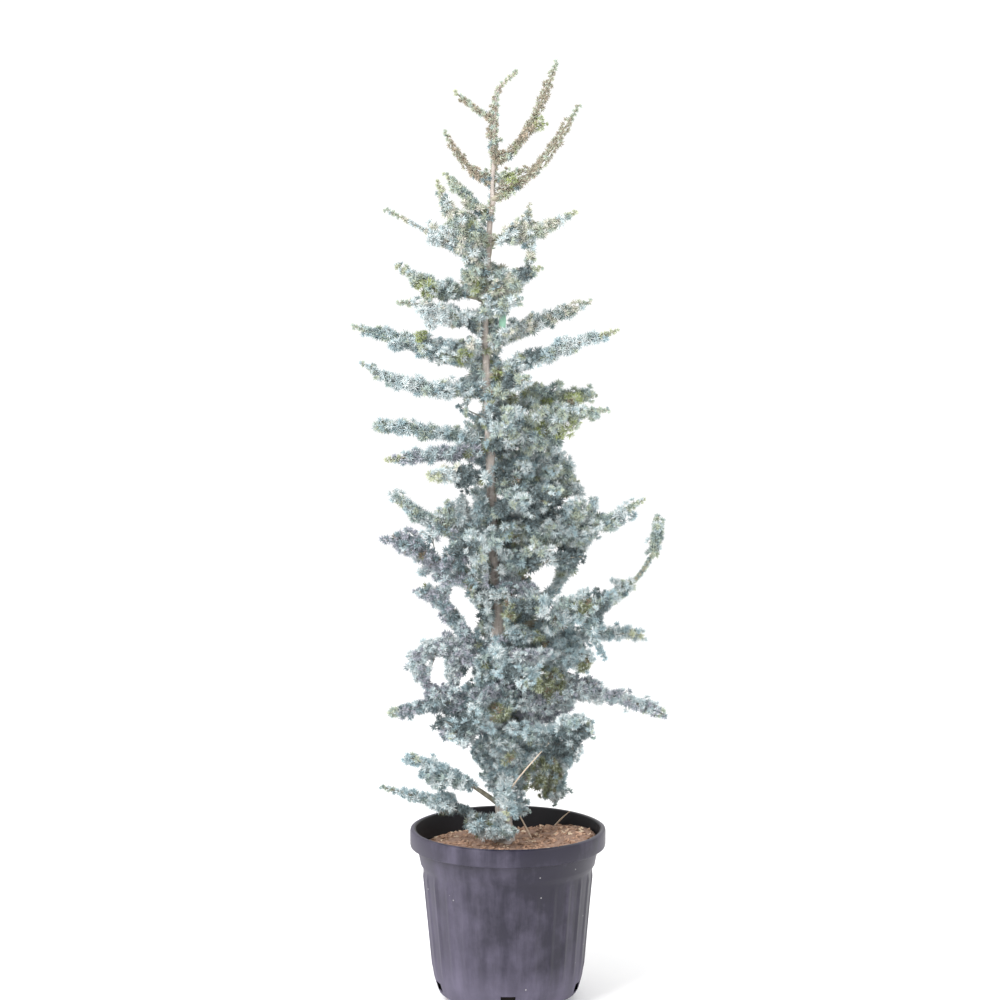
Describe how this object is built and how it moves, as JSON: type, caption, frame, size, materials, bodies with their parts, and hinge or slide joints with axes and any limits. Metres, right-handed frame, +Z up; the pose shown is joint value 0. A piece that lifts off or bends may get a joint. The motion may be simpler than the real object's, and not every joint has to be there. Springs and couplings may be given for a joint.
{
  "type": "potted blue cedar",
  "caption": "Young blue cedar with an open, tiered head of silver-blue needles on a thin trunk, in a ribbed charcoal nursery pot of bark potting mix.",
  "frame": {"origin": "middle of the pot's flat underside, on the surface that it stands on", "axes": "+Z up the trunk, -Y toward the viewer of the picture, +X to the viewer's right"},
  "size_m": [0.5878, 0.4109, 1.7623],
  "materials": {
    "pot_plastic": "dusty matt charcoal",
    "potting_mix": "loose orange-brown bark chips",
    "trunk_bark": "smooth grey-brown bark",
    "bough_bark": "grey-brown bark",
    "pale_needles": "pale silver-green young needles",
    "blue_needles": "silver-blue needles with a waxy bloom",
    "shaded_needles": "blue-green older needles"
  },
  "bodies": {
    "root": {"bough_left_17": "bough_bark", "bough_left_5": "bough_bark", "bough_right_11": "bough_bark", "foliage_back_1": "blue_needles", "foliage_back_2": "blue_needles", "foliage_back_3": "blue_needles", "foliage_back_4": "blue_needles", "foliage_back_5": "shaded_needles", "foliage_back_6": "shaded_needles", "foliage_front_1": "blue_needles", "foliage_front_10": "shaded_needles", "foliage_front_2": "blue_needles", "foliage_front_3": "blue_needles", "foliage_front_4": "blue_needles", "foliage_front_5": "blue_needles", "foliage_front_6": "shaded_needles", "foliage_front_7": "shaded_needles", "foliage_front_8": "shaded_needles", "foliage_front_9": "shaded_needles", "foliage_left_1": "pale_needles", "foliage_left_10": "blue_needles", "foliage_left_11": "blue_needles", "foliage_left_12": "blue_needles", "foliage_left_13": "shaded_needles", "foliage_left_14": "shaded_needles", "foliage_left_15": "shaded_needles", "foliage_left_16": "shaded_needles", "foliage_left_17": "shaded_needles", "foliage_left_18": "shaded_needles", "foliage_left_2": "pale_needles", "foliage_left_3": "blue_needles", "foliage_left_4": "blue_needles", "foliage_left_5": "blue_needles", "foliage_left_6": "blue_needles", "foliage_left_7": "blue_needles", "foliage_left_8": "blue_needles", "foliage_left_9": "blue_needles", "foliage_right_1": "pale_needles", "foliage_right_10": "blue_needles", "foliage_right_11": "blue_needles", "foliage_right_12": "shaded_needles", "foliage_right_13": "shaded_needles", "foliage_right_14": "shaded_needles", "foliage_right_15": "shaded_needles", "foliage_right_2": "blue_needles", "foliage_right_3": "blue_needles", "foliage_right_4": "blue_needles", "foliage_right_5": "blue_needles", "foliage_right_6": "blue_needles", "foliage_right_7": "blue_needles", "foliage_right_8": "blue_needles", "foliage_right_9": "blue_needles", "foliage_top_1": "pale_needles", "foliage_top_2": "pale_needles", "foliage_top_3": "pale_needles", "foliage_top_4": "pale_needles", "foliage_top_5": "pale_needles", "pot": "pot_plastic", "soil": "potting_mix", "trunk": "trunk_bark"}
  },
  "joints": []
}
